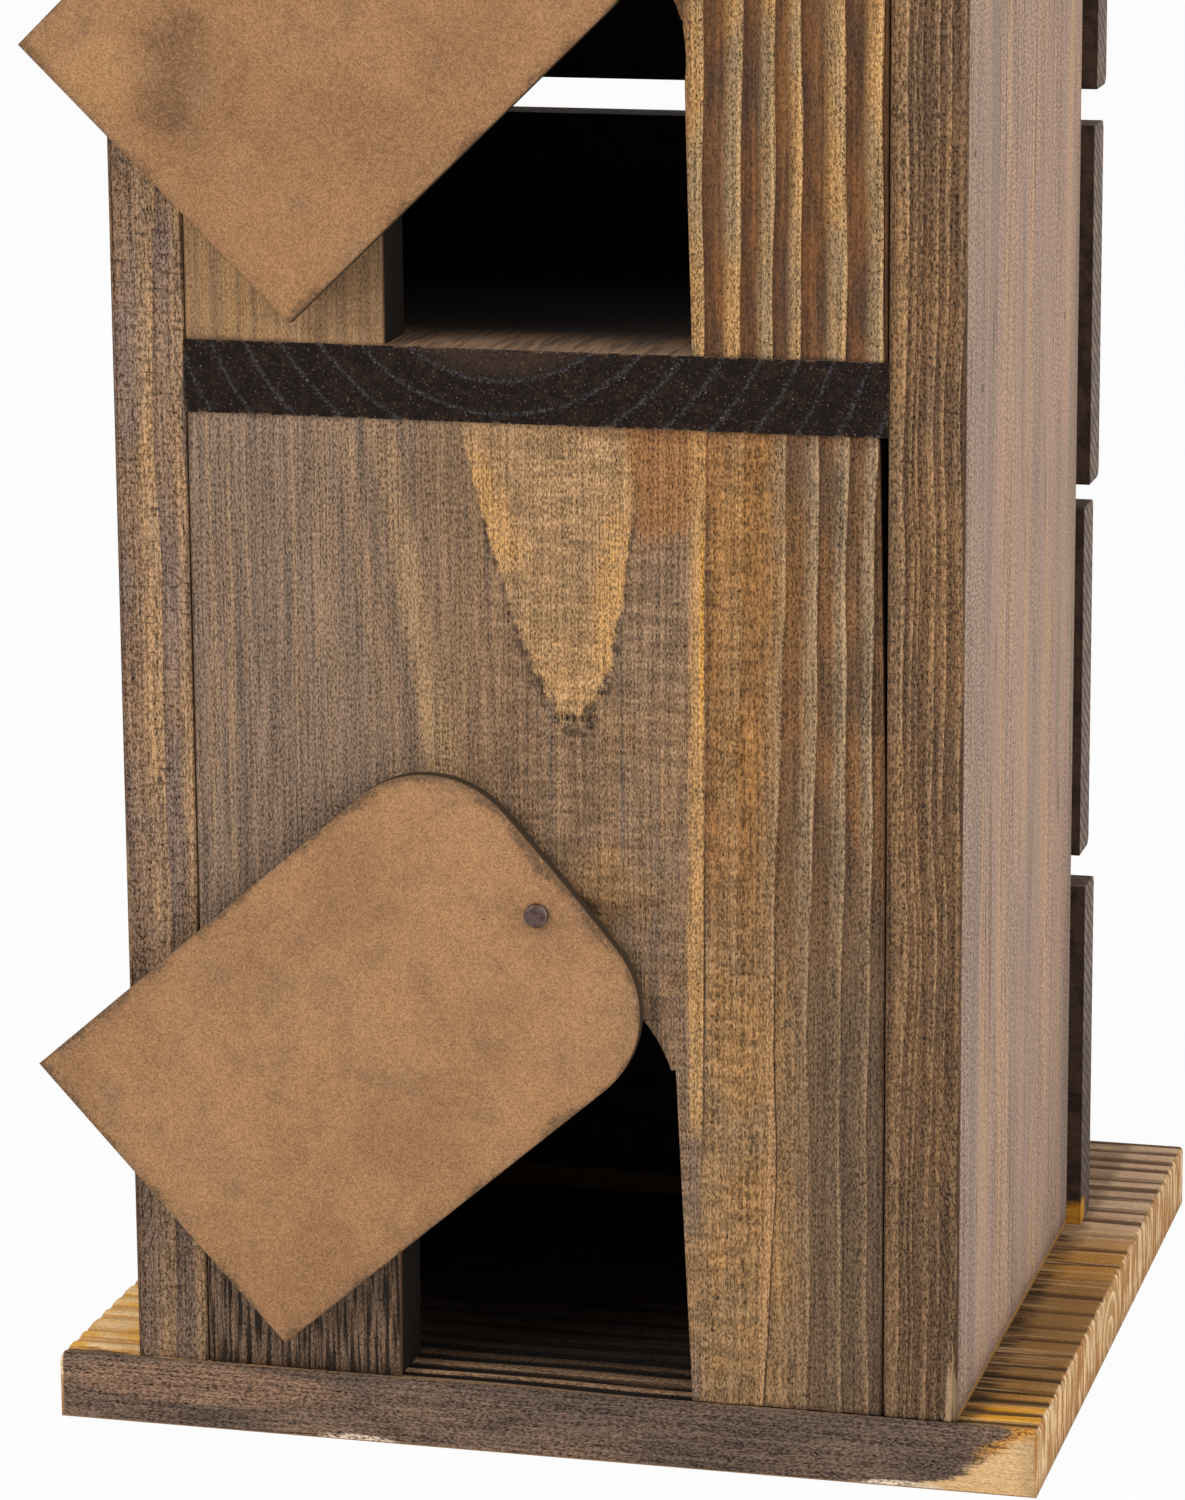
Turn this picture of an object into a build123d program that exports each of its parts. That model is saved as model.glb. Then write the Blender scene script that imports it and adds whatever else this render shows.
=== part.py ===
from build123d import *
import math
import os

# A two-storey wooden birdhouse with a swivel cover over each clean-out doorway.
# Millimetres. +Z is up, the clean-out side faces -Y, and the entrance side faces +Y.
# The origin is the centre of the base board's underside.

# Base board
base_width = 155.0
base_depth = 147.0
base_thickness = 10.5
base_lip = 1.5
base_front_wear = 1.2
base_corner_wear = 0.5

# Worn valleys along the base board's grain, close together at the back and wide at the front
valley_back_step = 4.4
valley_step_growth = 1.07
valley_front_margin = 7.0
valley_half_width = 1.0
valley_depth = 0.35

# Tower
tower_width = 130.0
board_thickness = 11.4
side_board_depth = 98.0
lower_storey = 150.0
upper_storey = 152.0
floor_thickness = 11.0
arris = 0.6

# Roof
roof_pitch = 35.0
roof_thickness = 9.5
roof_side_overhang = 16.0
roof_end_overhang = 12.0

# Siding on the entrance side, bottom gap first
siding_thickness = 9.0
siding_side_overhang = 1.9
siding_gaps = (5.3, 3.8, 5.8, 4.5)
siding_sideways_slips = (0.4, -0.6, 0.2, 0.5, -0.3)
siding_worn_edge = 1.6
siding_roof_clearance = 0.5
gable_gap = 4.5
entrance_radius = 16.0
entrance_boards = (1, 3)

# Door panels, which stand between the side boards
panel_side_gap = 0.2
panel_wedge_gap = 1.2
panel_wedge_start = 97.0

# Doorways: a drilled round top, and two saw cuts from the sill that run a little past its widest line
doorway_radius = 21.6
lower_doorway_centre = 0.3
lower_doorway_height = 45.7
lower_cut_height = 52.3
lower_cut_left_sill = -22.4
lower_cut_left_top = -22.0
lower_cut_right_sill = 24.1
lower_cut_right_top = 21.6
upper_doorway_centre = 2.0
upper_doorway_height = 43.0
upper_cut_height = 48.8
upper_cut_left_sill = -22.6
upper_cut_left_top = -22.9
upper_cut_right_sill = 24.4
upper_cut_right_top = 23.1

# Swivel covers, described as they hang closed from the nail
cover_width = 57.5
cover_thickness = 3.0
cover_crown = 6.2
cover_crown_fall = 1.0
cover_drop = 78.3
cover_end_skew = 1.8
cover_shoulder = 16.0
cover_nail_offset = 1.75
cover_standoff = 1.8
lower_cover_open = 49.2
upper_cover_open = 46.2

# Pivot nails
nail_height = 76.6
nail_side_shift = 1.5
nail_radius = 1.0
nail_head_radius = 1.85
nail_head_thickness = 0.8
nail_head_edge = 0.25
nail_point = 0.8
nail_head_clearance = 0.3
nail_short_of_back = 1.0
nail_running_gap = 0.08
nail_bite = 0.02

# Headless brads of square wire, driven a little below the surface
brad_width = 1.2
brad_length = 22.0
brad_set = 0.4
brad_bite = 0.02
roof_brad_set = 0.9
floor_brad_inset = 13.4
panel_brad_inset = 30.0
base_brad_inset = 20.0
siding_brad_share = 0.27
gable_brad_reach = 30.0
panel_foot_brad_reach = 38.0

# Places worked out from the sizes above
front = base_lip - base_depth / 2
back = front + side_board_depth
siding_back = back + siding_thickness
half_width = tower_width / 2
inner_half = half_width - board_thickness
ground = base_thickness
mid_floor_bottom = ground + lower_storey
upper_ground = mid_floor_bottom + floor_thickness
eaves = upper_ground + upper_storey
slope = math.tan(math.radians(roof_pitch))
roof_rise = roof_thickness / math.cos(math.radians(roof_pitch))
side_centre = half_width - board_thickness / 2
panel_centre = front + board_thickness / 2
nail_x = nail_side_shift
cover_back = front - cover_standoff
cover_front = cover_back - cover_thickness


def roof_underside(x):
    """Height of the roof boards' underside at a distance x from the ridge."""
    return eaves + (half_width - abs(x)) * slope


siding_widest = half_width + siding_side_overhang + max(siding_sideways_slips)
siding_top = roof_underside(siding_widest) - siding_roof_clearance
siding_count = len(siding_gaps) + 1
siding_height = (siding_top - ground - sum(siding_gaps)) / siding_count


def block(x_span, y_span, z_span):
    """A plain block between three pairs of limits."""
    spans = (x_span, y_span, z_span)
    size = [high - low for low, high in spans]
    middle = [(low + high) / 2 for low, high in spans]
    return Pos(*middle) * Box(*size)


def prism(points, y_low, y_high):
    """A solid with one outline all the way from y_low to y_high."""
    corners = [(x, y_low, z) for x, z in points]
    outline = make_face(Polyline(*corners, close=True))
    return extrude(outline, amount=y_high - y_low, dir=(0, 1, 0))


def ease(solid, axis, radius):
    """Round a solid's edges that run along one axis."""
    return fillet(solid.edges().filter_by(axis), radius)


def pin(point, direction, radius, length):
    """A round pin that starts at a point and runs in a direction."""
    return Plane(origin=point, z_dir=direction) * Cylinder(
        radius, length, align=(Align.CENTER, Align.CENTER, Align.MIN)
    )


def wire(point, direction, width, length):
    """A length of square wire that starts at a point and runs in a direction."""
    return Plane(origin=point, z_dir=direction) * Box(
        width, width, length, align=(Align.CENTER, Align.CENTER, Align.MIN)
    )


def brads(places):
    """The brads themselves, one for each start point and direction."""
    return [wire(point, direction, brad_width, brad_length) for point, direction in places]


def brad_holes(places):
    """The tight holes that brads leave, open to the surface they were driven from."""
    holes = []
    for point, direction in places:
        run_out = 2 * roof_brad_set
        outside = Vector(*point) - Vector(*direction) * run_out
        holes.append(wire(outside, direction, brad_width - 2 * brad_bite, brad_length + run_out))
    return holes


def siding_bottom(index):
    """Height of a siding board's lower edge."""
    return ground + index * siding_height + sum(siding_gaps[:index])


def siding_brad_places(index):
    """Two brads through each end of a siding board into the side boards' back edges."""
    middle = siding_bottom(index) + siding_height / 2
    places = []
    for side in (-1, 1):
        for level in (-1, 1):
            z = middle + level * siding_brad_share * siding_height
            places.append(((side * side_centre, siding_back - brad_set, z), (0, -1, 0)))
    return places


def through_side_places(side, positions):
    """Brads driven through a side board towards the middle, at (y, z) positions."""
    x = side * (half_width - brad_set)
    return [((x, y, z), (-side, 0, 0)) for y, z in positions]


def floor_brad_places(side):
    level = mid_floor_bottom + floor_thickness / 2
    depths = (front + floor_brad_inset, back - floor_brad_inset)
    return through_side_places(side, [(y, level) for y in depths])


def panel_brad_places(side, floor_level, storey):
    levels = (floor_level + panel_brad_inset, floor_level + storey - panel_brad_inset)
    return through_side_places(side, [(panel_centre, z) for z in levels])


def base_brad_places(x, depths):
    return [((x, y, brad_set), (0, 0, 1)) for y in depths]


def side_foot_places(side):
    return base_brad_places(side * side_centre, (front + base_brad_inset, back - base_brad_inset))


def panel_foot_places():
    places = []
    for side in (-1, 1):
        places += base_brad_places(side * panel_foot_brad_reach, (panel_centre,))
    return places


def roof_brad_places(x, depths):
    """Plumb brads down through a roof board."""
    top = roof_underside(x) + roof_rise - roof_brad_set
    return [((x, y, top), (0, 0, -1)) for y in depths]


def side_roof_places(side):
    depths = (front + base_brad_inset, back - base_brad_inset)
    return roof_brad_places(side * side_centre, depths)


def gable_roof_places(side, depth):
    return roof_brad_places(side * gable_brad_reach, (depth,))


def make_valley(y):
    """The soft wood worn out between two rings, along the base board's whole top."""
    corners = [
        (-base_width, y - valley_half_width, ground),
        (-base_width, y + valley_half_width, ground),
        (-base_width, y, ground - valley_depth),
    ]
    outline = make_face(Polyline(*corners, close=True))
    return extrude(outline, amount=2 * base_width, dir=(1, 0, 0))


def make_base_board():
    """The ground board, its front arris worn round and its top worn into valleys along the grain."""
    board = block((-base_width / 2, base_width / 2), (-base_depth / 2, base_depth / 2), (0, ground))
    long_edges = board.edges().filter_by(Axis.X).group_by(Axis.Y)
    front_top = long_edges[0].sort_by(Axis.Z)[-1:]
    board = fillet(front_top, base_front_wear)
    board = fillet(board.edges().filter_by(Axis.Z), base_corner_wear)
    valleys = []
    y = base_depth / 2 - valley_back_step
    step = valley_back_step
    while y > -base_depth / 2 + valley_front_margin:
        valleys.append(make_valley(y))
        y -= step
        step *= valley_step_growth
    feet = panel_foot_places() + side_foot_places(-1) + side_foot_places(1)
    return board - valleys - brad_holes(feet)


def make_side_board(side):
    """A side board, its top bevelled to carry the roof."""
    outer = side * half_width
    inner = side * inner_half
    outline = [
        (inner, ground),
        (outer, ground),
        (outer, roof_underside(outer)),
        (inner, roof_underside(inner)),
    ]
    board = ease(prism(outline, front, back), Axis.Z, arris)
    places = side_foot_places(side) + side_roof_places(side) + floor_brad_places(side)
    places += panel_brad_places(side, ground, lower_storey)
    places += panel_brad_places(side, upper_ground, upper_storey)
    for index in range(siding_count):
        places += [place for place in siding_brad_places(index) if place[0][0] * side > 0]
    return board - brad_holes(places)


def make_mid_floor():
    """The floor between the storeys, end grain to the front, flush with the door panels."""
    board = block((-inner_half, inner_half), (front, back), (mid_floor_bottom, upper_ground))
    return board - brad_holes(floor_brad_places(-1) + floor_brad_places(1))


def cut_doorway(panel, saw_cuts, centre, height):
    """Cut an arched doorway: the straight part between the saw cuts, and the drilled round top."""
    straight = prism(saw_cuts, front - arris, front + board_thickness + arris)
    start = (centre, front - arris, height)
    top = pin(start, (0, 1, 0), doorway_radius, board_thickness + 2 * arris)
    return panel - (straight + top)


def drill_pivot(panel, floor_level):
    """Drive the pivot nail's hole into a door panel."""
    start = (nail_x, front - arris, floor_level + nail_height)
    depth = board_thickness - nail_short_of_back + arris
    return panel - pin(start, (0, 1, 0), nail_radius - nail_bite, depth)


def ease_front(panel):
    """Round the two upright front edges of a door panel where it meets the side boards."""
    uprights = panel.edges().filter_by(Axis.Z).group_by(Axis.Y)[0].sort_by(Axis.X)
    return fillet([uprights[0], uprights[-1]], arris)


def make_lower_door_panel():
    """The lower door panel, its right edge running off to leave a thin wedge of a gap at the top."""
    half = inner_half - panel_side_gap
    outline = [
        (-half, ground),
        (half, ground),
        (half, ground + panel_wedge_start),
        (half - panel_wedge_gap, mid_floor_bottom),
        (-half, mid_floor_bottom),
    ]
    panel = ease_front(prism(outline, front, front + board_thickness))
    saw_cuts = [
        (lower_cut_left_sill, ground - arris),
        (lower_cut_right_sill, ground - arris),
        (lower_cut_right_top, ground + lower_cut_height),
        (lower_cut_left_top, ground + lower_cut_height),
    ]
    panel = cut_doorway(panel, saw_cuts, lower_doorway_centre, ground + lower_doorway_height)
    places = panel_foot_places()
    for side in (-1, 1):
        places += panel_brad_places(side, ground, lower_storey)
    return drill_pivot(panel, ground) - brad_holes(places)


def make_upper_door_panel():
    """The upper door panel, which runs up into the gable."""
    half = inner_half - panel_side_gap
    outline = [
        (-half, upper_ground),
        (half, upper_ground),
        (half, roof_underside(half)),
        (0, roof_underside(0)),
        (-half, roof_underside(half)),
    ]
    panel = ease_front(prism(outline, front, front + board_thickness))
    saw_cuts = [
        (upper_cut_left_sill, upper_ground - arris),
        (upper_cut_right_sill, upper_ground - arris),
        (upper_cut_right_top, upper_ground + upper_cut_height),
        (upper_cut_left_top, upper_ground + upper_cut_height),
    ]
    panel = cut_doorway(panel, saw_cuts, upper_doorway_centre, upper_ground + upper_doorway_height)
    places = gable_roof_places(-1, panel_centre) + gable_roof_places(1, panel_centre)
    for side in (-1, 1):
        places += panel_brad_places(side, upper_ground, upper_storey)
    return drill_pivot(panel, upper_ground) - brad_holes(places)


def make_siding_board(index):
    """One siding board, nailed across the side boards' back edges."""
    slip = siding_sideways_slips[index % len(siding_sideways_slips)]
    reach = half_width + siding_side_overhang
    bottom = siding_bottom(index)
    board = block((slip - reach, slip + reach), (back, siding_back), (bottom, bottom + siding_height))
    board = fillet(board.edges().filter_by(Axis.X).sort_by(Axis.Y)[-2:], siding_worn_edge)
    if index in entrance_boards:
        start = (0, back - arris, bottom + siding_height / 2)
        board = board - pin(start, (0, 1, 0), entrance_radius, siding_thickness + 2 * arris)
    return board - brad_holes(siding_brad_places(index))


def make_gable_siding():
    """The three-cornered siding board under the roof."""
    bottom = siding_top + gable_gap
    reach = half_width + (eaves - bottom) / slope
    outline = [(-reach, bottom), (reach, bottom), (0, roof_underside(0))]
    board = prism(outline, back, siding_back)
    depth = back + siding_thickness / 2
    return board - brad_holes(gable_roof_places(-1, depth) + gable_roof_places(1, depth))


def make_roof_board(side):
    """A roof board, cut plumb at the ridge and square at the eaves."""
    edge = half_width + roof_side_overhang
    lean = math.radians(roof_pitch)
    square_x = edge + roof_thickness * math.sin(lean)
    square_z = roof_underside(edge) + roof_thickness * math.cos(lean)
    outline = [
        (0, roof_underside(0)),
        (side * edge, roof_underside(edge)),
        (side * square_x, square_z),
        (0, roof_underside(0) + roof_rise),
    ]
    board = prism(outline, front - roof_end_overhang, siding_back + roof_end_overhang)
    long_edges = board.edges().filter_by(Axis.Y)
    eave_edges = [line for line in long_edges if abs(line.center().X) > arris]
    board = fillet(eave_edges, arris)
    places = side_roof_places(side)
    for depth in (panel_centre, back + siding_thickness / 2):
        places += gable_roof_places(side, depth)
    return board - brad_holes(places)


def make_cover(open_angle, floor_level):
    """A fibreboard cover on its nail, turned from hanging closed by an angle towards -X."""
    left = -cover_width / 2 - cover_nail_offset
    right = cover_width / 2 - cover_nail_offset
    shoulder_line = cover_crown - cover_crown_fall
    sides = Polyline(
        (left, shoulder_line),
        (left, -cover_drop - cover_end_skew / 2),
        (right, -cover_drop + cover_end_skew / 2),
        (right, shoulder_line),
    )
    crown = ThreePointArc((right, shoulder_line), ((left + right) / 2, cover_crown), (left, shoulder_line))
    outline = make_face(sides + crown)
    outline = fillet(outline.vertices().group_by(Axis.Y)[-1], cover_shoulder)
    outline = outline - Circle(nail_radius + nail_running_gap)
    upright = Plane(origin=(0, 0, 0), x_dir=(1, 0, 0), z_dir=(0, -1, 0))
    sheet = extrude(upright * outline, amount=cover_thickness)
    return Pos(nail_x, cover_back, floor_level + nail_height) * Rot(0, open_angle, 0) * sheet


def make_pivot_nail(floor_level):
    """A round-headed nail through a cover, ending inside the door panel."""
    head_back = cover_front - nail_head_clearance
    head_front = head_back - nail_head_thickness
    centre = (nail_x, head_front, floor_level + nail_height)
    head = pin(centre, (0, 1, 0), nail_head_radius, nail_head_thickness)
    head = chamfer(head.edges().sort_by(Axis.Y)[0], nail_head_edge)
    reach = front + board_thickness - nail_short_of_back - head_front
    shank = pin(centre, (0, 1, 0), nail_radius, reach)
    shank = chamfer(shank.edges().sort_by(Axis.Y)[-1], nail_point)
    return head + shank


def all_siding_brads():
    places = []
    for index in range(siding_count):
        places += siding_brad_places(index)
    return places


def all_panel_brads():
    places = []
    for side in (-1, 1):
        places += panel_brad_places(side, ground, lower_storey)
        places += panel_brad_places(side, upper_ground, upper_storey)
    return places


def all_roof_brads():
    places = []
    for side in (-1, 1):
        places += side_roof_places(side)
        for depth in (panel_centre, back + siding_thickness / 2):
            places += gable_roof_places(side, depth)
    return places


nodes = {
    "base_board": make_base_board(),
    "left_side_board": make_side_board(-1),
    "right_side_board": make_side_board(1),
    "mid_floor": make_mid_floor(),
    "lower_door_panel": make_lower_door_panel(),
    "upper_door_panel": make_upper_door_panel(),
    "siding_gable_board": make_gable_siding(),
    "left_roof_board": make_roof_board(-1),
    "right_roof_board": make_roof_board(1),
    "lower_cover": make_cover(lower_cover_open, ground),
    "upper_cover": make_cover(upper_cover_open, upper_ground),
    "lower_pivot_nail": make_pivot_nail(ground),
    "upper_pivot_nail": make_pivot_nail(upper_ground),
    "siding_brads": Compound(children=brads(all_siding_brads())),
    "floor_brads": Compound(children=brads(floor_brad_places(-1) + floor_brad_places(1))),
    "panel_brads": Compound(children=brads(all_panel_brads())),
    "base_brads": Compound(children=brads(panel_foot_places() + side_foot_places(-1) + side_foot_places(1))),
    "roof_brads": Compound(children=brads(all_roof_brads())),
}
for number in range(siding_count):
    nodes[f"siding_board_{number + 1}"] = make_siding_board(number)

os.makedirs("parts", exist_ok=True)
for name, shape in nodes.items():
    export_step(shape, f"parts/{name}.step")
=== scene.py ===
import bmesh
import bpy
import math
from mathutils import Matrix, Vector


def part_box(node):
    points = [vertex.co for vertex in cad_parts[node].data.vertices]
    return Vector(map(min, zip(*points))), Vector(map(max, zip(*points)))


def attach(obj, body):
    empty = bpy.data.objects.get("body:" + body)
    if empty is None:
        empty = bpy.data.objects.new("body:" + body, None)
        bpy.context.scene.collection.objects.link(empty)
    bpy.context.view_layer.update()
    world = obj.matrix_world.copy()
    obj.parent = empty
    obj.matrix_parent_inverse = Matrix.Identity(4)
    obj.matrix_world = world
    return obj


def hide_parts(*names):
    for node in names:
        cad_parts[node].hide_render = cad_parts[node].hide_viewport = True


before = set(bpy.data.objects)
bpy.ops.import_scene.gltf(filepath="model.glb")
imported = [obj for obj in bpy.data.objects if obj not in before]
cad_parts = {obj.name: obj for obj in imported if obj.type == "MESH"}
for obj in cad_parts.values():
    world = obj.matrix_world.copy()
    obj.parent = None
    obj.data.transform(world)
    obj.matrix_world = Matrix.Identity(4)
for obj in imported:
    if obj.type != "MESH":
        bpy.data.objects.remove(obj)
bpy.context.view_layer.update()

MM = 0.001

# The camera, fitted to the board edges: place in millimetres, angles in degrees, focal length in pixels
camera_place = Vector((210.62, -850.22, 302.76))
camera_yaw = 14.525
camera_pitch = 13.369
camera_roll = 0.402
camera_focal = 5546.6
photo_height = 1500
sensor_size = 36.0

# The light and the floor, lengths in metres
white = (1.0, 1.0, 1.0, 1.0)
soft_light = 0.38
lamp_size = 1.2
lamp_aim = (0.0, 0.0, 0.18)
floor_middle = (0.0, 3.0, 0.0)
floor_half = 6.0
floor_glow = 0.95

# Faces that meet at more than this keep a sharp edge
sharp_angle = math.radians(40)

# Places on the part, in millimetres
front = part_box("left_side_board")[0].y / MM
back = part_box("left_side_board")[1].y / MM
half_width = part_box("right_side_board")[1].x / MM
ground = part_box("base_board")[1].z / MM
floor_low, floor_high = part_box("mid_floor")
mid_floor_bottom = floor_low.z / MM
mid_floor_top = floor_high.z / MM
inner_half = floor_high.x / MM
cover_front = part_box("lower_cover")[0].y / MM
nail_x = 1.5
nail_height = 76.6
lower_nail_z = ground + nail_height
upper_nail_z = mid_floor_top + nail_height
lower_cover_open = 49.2
upper_cover_open = 46.2

# A cover's outline from its nail, in millimetres: its middle line, half its width, its top, end and shoulders
cover_middle = -1.75
cover_half = 28.75
cover_top = 5.6
cover_drop = 78.3
cover_shoulder = 16.0

# The mesh steps and depths of the brushed and worn relief, and where the panels' ridges start, in millimetres
carving_step_across = 0.36
carving_step_along = 4.0
lower_panel_relief = 0.30
upper_panel_relief = 0.40
edge_relief = 0.25
base_step_across = 0.45
base_relief = 0.55
base_front_wear = 1.2
base_end_wear = 0.7
base_back_drop = 0.3
wear_steps = 6
cover_rub = 0.35
ridges_start = 20.0

# Where the proud ring lines cross the boards, read from the photo, in millimetres from the middle
lower_panel_lines = (15.0, 25.4, 31.0, 36.7, 42.0, 47.0, 51.1, 55.3)
upper_panel_lines = (20.5, 26.2, 31.8, 36.6, 40.6, 47.2, 52.8, 57.0)
right_edge_lines = (51.5, 56.3, 57.5, 58.3, 60.7, 62.3, 64.8, 67.5)
left_edge_lines = (-72.0, -64.9, -58.2, -53.3, -50.0)

# Across one ring: how light and proud it is, the painted highlight on its crest, and the dark line after it.
# Then, from one of the base board's valleys to the next, how deep it is
band_light = ((0.0, 0.0), (0.45, 0.08), (0.68, 0.80), (0.94, 1.0), (0.985, 0.9), (1.0, 0.0))
crest_highlight = ((0.0, 0.0), (0.86, 0.0), (0.94, 1.0), (1.0, 0.1))
band_drop = ((0.0, 1.0), (0.07, 0.6), (0.22, 0.0), (1.0, 0.0))
valley_shape = ((0.0, 1.0), (0.18, 0.85), (0.40, 0.12), (0.64, 0.0), (0.84, 0.5), (1.0, 1.0))


def paint(red, green, blue):
    """A colour as it looks on a screen, 0 to 255, as the linear colour that a shader takes."""
    def linear(share):
        if share <= 0.04045:
            return share / 12.92
        return ((share + 0.055) / 1.055) ** 2.4
    return (linear(red / 255), linear(green / 255), linear(blue / 255), 1.0)


class Signal:
    """A value that changes over a surface. Arithmetic on it adds Math nodes to its material."""

    def __init__(self, finish, socket):
        self.finish = finish
        self.socket = socket

    def math(self, operation, *terms):
        return self.finish.node("ShaderNodeMath", {"operation": operation}, terms)

    def __add__(self, other):
        return self.math("ADD", self, other)

    def __radd__(self, other):
        return self.math("ADD", other, self)

    def __sub__(self, other):
        return self.math("SUBTRACT", self, other)

    def __rsub__(self, other):
        return self.math("SUBTRACT", other, self)

    def __mul__(self, other):
        return self.math("MULTIPLY", self, other)

    def __rmul__(self, other):
        return self.math("MULTIPLY", other, self)

    def __truediv__(self, other):
        return self.math("DIVIDE", self, other)

    def __rtruediv__(self, other):
        return self.math("DIVIDE", other, self)

    def __pow__(self, other):
        return self.math("POWER", self, other)

    def __abs__(self):
        return self.math("ABSOLUTE", self)

    def step(self, start, end):
        """Go smoothly from 0 to 1 while the value goes from start to end, up or down."""
        settings = {"interpolation_type": "SMOOTHSTEP"}
        return self.finish.node("ShaderNodeMapRange", settings, [self, start, end, 0.0, 1.0])


class Finish:
    """A material under construction."""

    def __init__(self, name, tree=None):
        if tree is None:
            self.material = bpy.data.materials.new(name)
            self.material.use_nodes = True
            tree = self.material.node_tree
        self.tree = tree
        self.tree.nodes.clear()

    def node(self, kind, settings=None, sockets=(), output=0):
        """Add a node: its settings first, then what goes into its sockets, by number or by name."""
        made = self.tree.nodes.new(kind)
        for name, value in (settings or {}).items():
            if name == "stops":
                set_stops(made.color_ramp, value)
            else:
                setattr(made, name, value)
        pairs = sockets.items() if isinstance(sockets, dict) else enumerate(sockets)
        for key, value in pairs:
            if isinstance(value, Signal):
                self.tree.links.new(value.socket, made.inputs[key])
            elif value is not None:
                made.inputs[key].default_value = value
        return Signal(self, made.outputs[output])

    def place(self):
        """The point on the object, in millimetres."""
        point = self.node("ShaderNodeTexCoord", output="Object")
        return self.node("ShaderNodeVectorMath", {"operation": "SCALE"}, {0: point, "Scale": 1 / MM})

    def parts(self, point):
        """The x, y and z of a point."""
        return [self.node("ShaderNodeSeparateXYZ", None, [point], output=k) for k in range(3)]

    def stretch(self, point, amounts):
        return self.node("ShaderNodeVectorMath", {"operation": "MULTIPLY"}, [point, amounts])

    def shift(self, point, amounts):
        return self.node("ShaderNodeVectorMath", {"operation": "ADD"}, [point, amounts])

    def noise(self, point, scale, detail, roughness=0.5, warp=0.0):
        """Cloudy noise, 0 to 1, about 0.5 on average."""
        sockets = {"Vector": point, "Scale": scale, "Detail": detail, "Roughness": roughness,
                   "Distortion": warp}
        return self.node("ShaderNodeTexNoise", None, sockets)

    def ramp(self, value, *stops):
        """Follow straight lines between (value, result) stops, results as greys."""
        greys = [(place, (level, level, level, 1.0)) for place, level in stops]
        return self.node("ShaderNodeValToRGB", {"stops": greys}, [value])

    def mix(self, share, first, second):
        """Mix two colours, each one mixed before or a red, green and blue for paint."""
        colours = [tint if isinstance(tint, Signal) else paint(*tint) for tint in (first, second)]
        sockets = {0: share, 6: colours[0], 7: colours[1]}
        return self.node("ShaderNodeMix", {"data_type": "RGBA"}, sockets, output=2)

    def over(self, colour, tint, value, start, end, strength=1.0):
        """Lay a tint over a colour, more and more while a value goes from start to end."""
        share = value.step(start, end)
        if strength != 1.0:
            share = share * strength
        return self.mix(share, colour, tint)

    def shade(self, colour, level):
        """A colour made darker or lighter, 1 leaving it as it is."""
        return self.node("ShaderNodeVectorMath", {"operation": "SCALE"}, {0: colour, "Scale": level})

    def sine(self, value):
        return value.math("SINE", value)

    def fraction(self, value):
        return value.math("FRACT", value)

    def slope(self, value, low, high):
        """Go straight from 0 to 1 while a value goes from low to high."""
        return self.node("ShaderNodeMapRange", None, [value, low, high, 0.0, 1.0])

    def least(self, *values):
        result = values[0]
        for value in values[1:]:
            result = result.math("MINIMUM", result, value)
        return result

    def most(self, *values):
        result = values[0]
        for value in values[1:]:
            result = result.math("MAXIMUM", result, value)
        return result

    def surface(self, colour, roughness, height, metallic=0.0, specular=0.15):
        """Finish the material: a height is in millimetres."""
        bump = self.node("ShaderNodeBump", None, {"Strength": 1.0, "Distance": MM, "Height": height})
        sockets = {"Base Color": colour, "Roughness": roughness, "Metallic": metallic,
                   "Specular IOR Level": specular, "Normal": bump}
        self.send_out(self.node("ShaderNodeBsdfPrincipled", None, sockets))
        return self.material

    def send_out(self, shader, kind="ShaderNodeOutputMaterial"):
        made = self.tree.nodes.new(kind)
        self.tree.links.new(shader.socket, made.inputs["Surface"])


class Plain:
    """The same sums as in Finish for plain numbers, so that one formula carves a mesh and colours it."""

    def sine(self, value):
        return math.sin(value)

    def fraction(self, value):
        return value % 1.0

    def slope(self, value, low, high):
        return min(max((value - low) / (high - low), 0.0), 1.0)

    def ramp(self, value, *stops):
        for (low, start), (high, end) in zip(stops, stops[1:]):
            if value <= high:
                return start + (end - start) * (value - low) / (high - low)
        return stops[-1][1]


def set_stops(ramp, stops):
    """Give a colour ramp its stops, as (place, colour)."""
    while len(ramp.elements) < len(stops):
        ramp.elements.new(0.5)
    for element, (place, colour) in zip(ramp.elements, stops):
        element.position = place
        element.color = colour


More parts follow.
